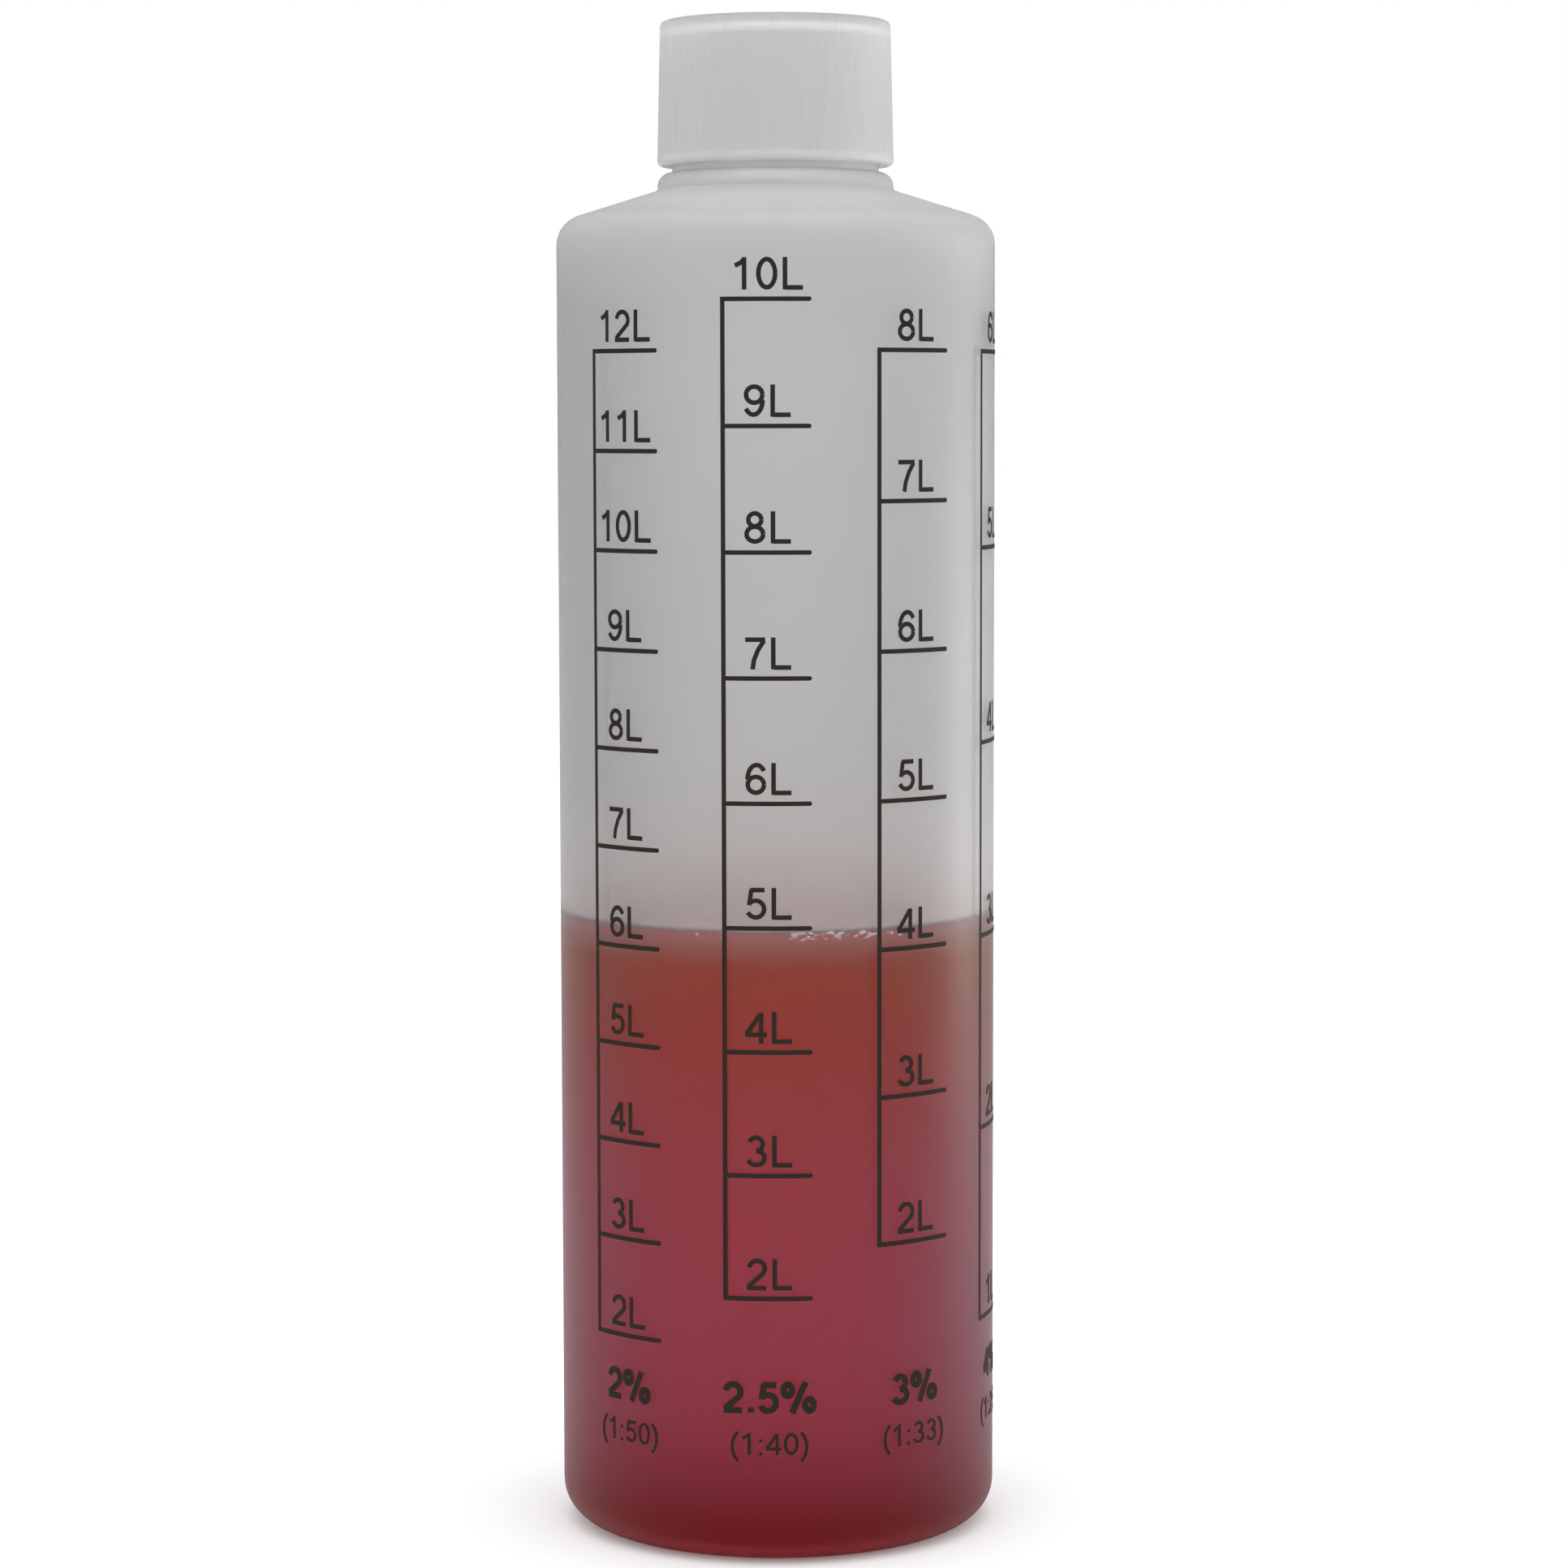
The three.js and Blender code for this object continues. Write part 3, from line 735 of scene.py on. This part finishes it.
# Natural HDPE, blow moulded: light comes through it scattered, so what lies behind is seen as a blur.
# Its skin has a faint orange peel. Along the oil's surface a thin film of oil clings to it in patches.
def natural_hdpe():
    material, tree = new_material("natural_hdpe_blow_moulded")
    place = add_node(tree, "ShaderNodeTexCoord").outputs["Object"]
    peel = {"Vector": place, "Scale": PEEL_BUMPS_PER_METRE, "Detail": 2.0}
    peel = add_node(tree, "ShaderNodeTexNoise", peel).outputs[0]
    bump = {"Height": peel, "Strength": 0.12, "Distance": PEEL_DEPTH}
    bump = add_node(tree, "ShaderNodeBump", bump).outputs[0]
    height = add_node(tree, "ShaderNodeSeparateXYZ", [place]).outputs["Z"]
    # Painted shade and painted light in the wall's colour by height
    wall_colour_with_painted_light = colour_by_height(tree, height, WALL_TINTS_WITH_PAINTED_LIGHT)
    # Painted reflection: the tint of the wall's reflections by height
    painted_reflection_tint = colour_by_height(tree, height, WALL_PAINTED_REFLECTION_TINTS)
    clear = {"Value": height, "From Min": THIN_UP_TO, "From Max": THICK_FROM}
    clear |= {"To Min": 1.0, "To Max": THICK_WALL_CLEARNESS}
    clear = add_node(tree, "ShaderNodeMapRange", clear).outputs[0]
    off = [height, OIL_LEVEL - FILM_HEIGHT / 3]
    off = add_node(tree, "ShaderNodeMath", off, operation="SUBTRACT").outputs[0]
    off = add_node(tree, "ShaderNodeMath", [off], operation="ABSOLUTE").outputs[0]
    patches = {"Vector": place, "Scale": FILM_PATCHES_PER_METRE, "Detail": 3.0}
    patches = add_node(tree, "ShaderNodeTexNoise", patches).outputs[0]
    patches = {"Value": patches, "From Min": 0.3, "From Max": 0.7, "To Min": 0.7, "To Max": 1.3}
    patches = add_node(tree, "ShaderNodeMapRange", patches).outputs[0]
    off = add_node(tree, "ShaderNodeMath", [off, patches], operation="MULTIPLY").outputs[0]
    film = {"Value": off, "From Min": 0.0, "From Max": FILM_HEIGHT}
    film |= {"To Min": FILM_CLEARNESS, "To Max": 1.0}
    film = add_node(tree, "ShaderNodeMapRange", film, interpolation_type="SMOOTHSTEP").outputs[0]
    clear = add_node(tree, "ShaderNodeMath", [clear, film], operation="MULTIPLY").outputs[0]
    plastic = {
        "Base Color": wall_colour_with_painted_light,
        "Roughness": 0.5,
        "IOR": 1.5,
        "Transmission Weight": clear,
        "Specular Tint": painted_reflection_tint,
        "Coat Weight": 0.08,
        "Coat Roughness": 0.25,
        "Normal": bump,
    }
    shader = add_node(tree, "ShaderNodeBsdfPrincipled", plastic).outputs[0]
    add_node(tree, "ShaderNodeOutputMaterial", {"Surface": shader})
    return material


# Natural polypropylene, injection moulded: milky, with a soft gloss on its ribs.
def natural_polypropylene():
    material, tree = new_material("natural_polypropylene_moulded")
    place = add_node(tree, "ShaderNodeTexCoord").outputs["Object"]
    height = add_node(tree, "ShaderNodeSeparateXYZ", [place]).outputs["Z"]
    plastic = {
        # Painted light at the cap's foot and top
        "Base Color": colour_by_height(tree, height, CAP_TINTS_WITH_PAINTED_LIGHT),
        "Roughness": 0.6,
        "IOR": 1.49,
        "Transmission Weight": 0.62,
        "Coat Weight": 0.2,
        "Coat Roughness": 0.3,
    }
    shader = add_node(tree, "ShaderNodeBsdfPrincipled", plastic).outputs[0]
    add_node(tree, "ShaderNodeOutputMaterial", {"Surface": shader})
    return material


# Expanded polyethylene foam: white and dull.
def liner_foam():
    material, tree = new_material("polyethylene_foam")
    foam = {"Base Color": linear("#F0EFEE"), "Roughness": 0.8}
    shader = add_node(tree, "ShaderNodeBsdfPrincipled", foam).outputs[0]
    add_node(tree, "ShaderNodeOutputMaterial", {"Surface": shader})
    return material


# Painted highlights: pale, faintly pink flecks for the glints at the oil's line.
def painted_glints():
    material, tree = new_material("painted_glints")
    flecks = {"Base Color": linear("#EEE4E1"), "Roughness": 0.9}
    shader = add_node(tree, "ShaderNodeBsdfPrincipled", flecks).outputs[0]
    add_node(tree, "ShaderNodeOutputMaterial", {"Surface": shader})
    return material


# Two-stroke oil, dyed red: clear, and darker the deeper one looks through it.
def two_stroke_oil():
    material, tree = new_material("red_two_stroke_oil")
    liquid = {"Base Color": linear("#FFFFFF"), "Roughness": 0.05, "IOR": 1.47}
    liquid["Transmission Weight"] = 1.0
    shader = add_node(tree, "ShaderNodeBsdfPrincipled", liquid).outputs[0]
    dye = {"Color": DYE_COLOUR, "Density": DYE_DENSITY}
    dye = add_node(tree, "ShaderNodeVolumeAbsorption", dye).outputs[0]
    add_node(tree, "ShaderNodeOutputMaterial", {"Surface": shader, "Volume": dye})
    return material


# Screen-printed ink: a warm black, nearly matt.
def black_ink():
    material, tree = new_material("black_screen_ink")
    ink = {"Base Color": linear("#2A2420"), "Roughness": 0.6, "Specular IOR Level": 0.1}
    shader = add_node(tree, "ShaderNodeBsdfPrincipled", ink).outputs[0]
    add_node(tree, "ShaderNodeOutputMaterial", {"Surface": shader})
    return material


def place_piece(piece, body, nodes):
    shade_smooth(piece)
    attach(piece, body)
    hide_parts(*nodes)


# Pieces
cut_thread = thread_tree()
cut_ribs = rib_tree()
wrap_print = print_tree()
hdpe = natural_hdpe()
polypropylene = natural_polypropylene()
foam = liner_foam()
oil_dye = two_stroke_oil()
ink = black_ink()

neck_crest = NECK_RADIUS + THREAD_DEPTH
cap_crest = NECK_RADIUS + CAP_CREST_TO_NECK
cap_thread_depth = CAP_INNER_RADIUS - cap_crest
thread_top = RIM - THREAD_BELOW_RIM
thread_offset = (NECK_CREST_WIDTH + CAP_CREST_WIDTH) / 2
thread_offset += (neck_crest - cap_crest) * FLANK_SLOPE + FLANK_CLEARANCE

profile, threaded = bottle_profile()
bottle = turned("bottle_body_hdpe", profile, BODY_SEGMENTS, {"thread": threaded})
bottle = shaped_by(
    bottle,
    cut_thread,
    {
        "Pitch": PITCH,
        "Depth": THREAD_DEPTH,
        "Crest Half Width": NECK_CREST_WIDTH / 2,
        "Root Half Width": NECK_CREST_WIDTH / 2 + THREAD_DEPTH * FLANK_SLOPE,
        "Foot Height": thread_top - NECK_THREAD_TURNS * PITCH,
        "Foot Turn": -NECK_THREAD_TURNS,
        "Turns": NECK_THREAD_TURNS,
        "Run Out": THREAD_RUN_OUT,
        "Material": hdpe,
    },
)
place_piece(bottle, "bottle", ["bottle_body"])

profile, threaded, ribbed = cap_profile()
cap_shares = {"thread": threaded, "rib": ribbed}
cap = turned("screw_cap_ribbed", profile, RIB_COUNT * RIB_SEGMENTS, cap_shares)
rib_sizes = {"Count": float(RIB_COUNT), "Depth": RIB_DEPTH, "Material": polypropylene}
cap = shaped_by(cap, cut_ribs, rib_sizes)
cap = shaped_by(
    cap,
    cut_thread,
    {
        "Pitch": PITCH,
        "Depth": -cap_thread_depth,
        "Crest Half Width": CAP_CREST_WIDTH / 2,
        "Root Half Width": CAP_CREST_WIDTH / 2 + cap_thread_depth * FLANK_SLOPE,
        "Foot Height": thread_top - thread_offset - (CAP_THREAD_TURNS - CAP_THREAD_LEAD) * PITCH,
        "Foot Turn": CAP_THREAD_LEAD - CAP_THREAD_TURNS,
        "Turns": CAP_THREAD_TURNS,
        "Run Out": THREAD_RUN_OUT,
        "Material": polypropylene,
    },
)
place_piece(cap, "cap", ["screw_cap"])

liner = turned("foam_liner", liner_profile(), BODY_SEGMENTS)
liner.data.materials.append(foam)
place_piece(liner, "liner", ["cap_liner"])

oil = turned("red_oil", oil_profile(), BODY_SEGMENTS)
oil.data.materials.append(oil_dye)
place_piece(oil, "bottle", ["oil_fill"])

# Painted highlights: pale flecks at the oil's line
glint_flecks = painted_glint_flecks("painted_glints_at_the_line")
glint_flecks.data.materials.append(painted_glints())
shade_smooth(glint_flecks)
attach(glint_flecks, "bottle")

for index, (node, per_litre, percent, ratio) in enumerate(SCALES):
    scale = printed_scale(index, node, per_litre, percent, ratio, wrap_print, ink)
    place_piece(scale, "bottle", [node])


# Studio: a white floor and surround, soft light from above and the sides
FLOOR_SIZE = 6.0
LENS = 98.4
SENSOR = 36.0
CAMERA_PLACE = Vector((0.3, -492.7, 128.3)) * MM
CAMERA_PITCH = math.radians(4.982)
CAMERA_YAW = math.radians(-0.061)
CAMERA_ROLL = math.radians(-0.12)
CLIP_NEAR = 0.01
CLIP_FAR = 100.0

# How bright the surround is: to the camera, as light on surfaces, in reflections, and how much
# brighter or darker its right and left sides are through the plastic
SEEN = 1.0
LIGHT = 1.1
REFLECTED = 0.25
SIDE_DIFFERENCE = 0.3

# The floor's white, and the lift that makes it white to the camera outside the shadow
FLOOR_WHITE = "#F4F4F4"
FLOOR_LIFT = 0.12

# Soft lamps: name, place and size in metres, and power in watts
LAMPS = (
    ("soft_top", (0.0, -0.25, 0.9), (0.7, 0.7), 1.5),
    ("right_strip", (0.46, 0.19, 0.06), (0.15, 0.12), 0.38),
)
LAMP_AIM = Vector((0.0, 0.0, 0.08))


def make_camera():
    data = bpy.data.cameras.new("camera")
    data.lens = LENS
    data.sensor_width = SENSOR
    data.clip_start = CLIP_NEAR
    data.clip_end = CLIP_FAR
    camera = bpy.data.objects.new("camera", data)
    bpy.context.scene.collection.objects.link(camera)
    camera.location = CAMERA_PLACE
    look = Euler((math.pi / 2 - CAMERA_PITCH, 0, CAMERA_YAW), "XYZ").to_matrix()
    roll = Euler((0, 0, CAMERA_ROLL), "XYZ").to_matrix()
    camera.rotation_euler = (look @ roll).to_euler()
    bpy.context.scene.camera = camera


def make_world():
    world = bpy.data.worlds.new("white_studio")
    bpy.context.scene.world = world
    world.use_nodes = True
    tree = world.node_tree
    tree.nodes.clear()
    rays = add_node(tree, "ShaderNodeLightPath").outputs
    through = rays["Is Transmission Ray"]
    seen = [rays["Is Camera Ray"], through]
    seen = add_node(tree, "ShaderNodeMath", seen, operation="MAXIMUM").outputs[0]
    light = [rays["Is Glossy Ray"], REFLECTED - LIGHT]
    light = add_node(tree, "ShaderNodeMath", light, operation="MULTIPLY").outputs[0]
    light = add_node(tree, "ShaderNodeMath", [light, LIGHT], operation="ADD").outputs[0]
    light = {"Color": linear("#FFFFFF"), "Strength": light}
    light = add_node(tree, "ShaderNodeBackground", light).outputs[0]
    way = add_node(tree, "ShaderNodeTexCoord").outputs["Generated"]
    right = add_node(tree, "ShaderNodeSeparateXYZ", [way]).outputs["X"]
    white = add_node(tree, "ShaderNodeMath", [right, through], operation="MULTIPLY").outputs[0]
    white = add_node(tree, "ShaderNodeMath", [white, SIDE_DIFFERENCE], operation="MULTIPLY").outputs[0]
    white = add_node(tree, "ShaderNodeMath", [white, SEEN], operation="ADD").outputs[0]
    white = {"Color": linear("#FFFFFF"), "Strength": white}
    white = add_node(tree, "ShaderNodeBackground", white).outputs[0]
    both = add_node(tree, "ShaderNodeMixShader", [seen, light, white]).outputs[0]
    add_node(tree, "ShaderNodeOutputWorld", {"Surface": both})


def make_floor():
    half = FLOOR_SIZE / 2
    mesh = bpy.data.meshes.new("floor")
    corners = [(-half, -half, 0), (half, -half, 0), (half, half, 0), (-half, half, 0)]
    mesh.from_pydata(corners, [], [(0, 1, 2, 3)])
    floor = bpy.data.objects.new("floor", mesh)
    bpy.context.scene.collection.objects.link(floor)
    material, tree = new_material("white_floor")
    paint = add_node(tree, "ShaderNodeBsdfDiffuse", {"Color": linear(FLOOR_WHITE)}).outputs[0]
    seen = add_node(tree, "ShaderNodeLightPath").outputs["Is Camera Ray"]
    glow = add_node(tree, "ShaderNodeMath", [seen, FLOOR_LIFT], operation="MULTIPLY").outputs[0]
    glow = {"Color": linear("#FFFFFF"), "Strength": glow}
    glow = add_node(tree, "ShaderNodeEmission", glow).outputs[0]
    both = add_node(tree, "ShaderNodeAddShader", [paint, glow]).outputs[0]
    add_node(tree, "ShaderNodeOutputMaterial", {"Surface": both})
    mesh.materials.append(material)


def make_lamp(name, place, size, power):
    data = bpy.data.lights.new(name, "AREA")
    data.shape = "RECTANGLE"
    data.size, data.size_y = size
    data.energy = power
    lamp = bpy.data.objects.new(name, data)
    bpy.context.scene.collection.objects.link(lamp)
    lamp.location = place
    lamp.rotation_euler = (LAMP_AIM - Vector(place)).to_track_quat("-Z", "Y").to_euler()


make_camera()
make_world()
make_floor()
for lamp_name, place, size, power in LAMPS:
    make_lamp(lamp_name, place, size, power)

bpy.context.scene.view_settings.view_transform = "Standard"
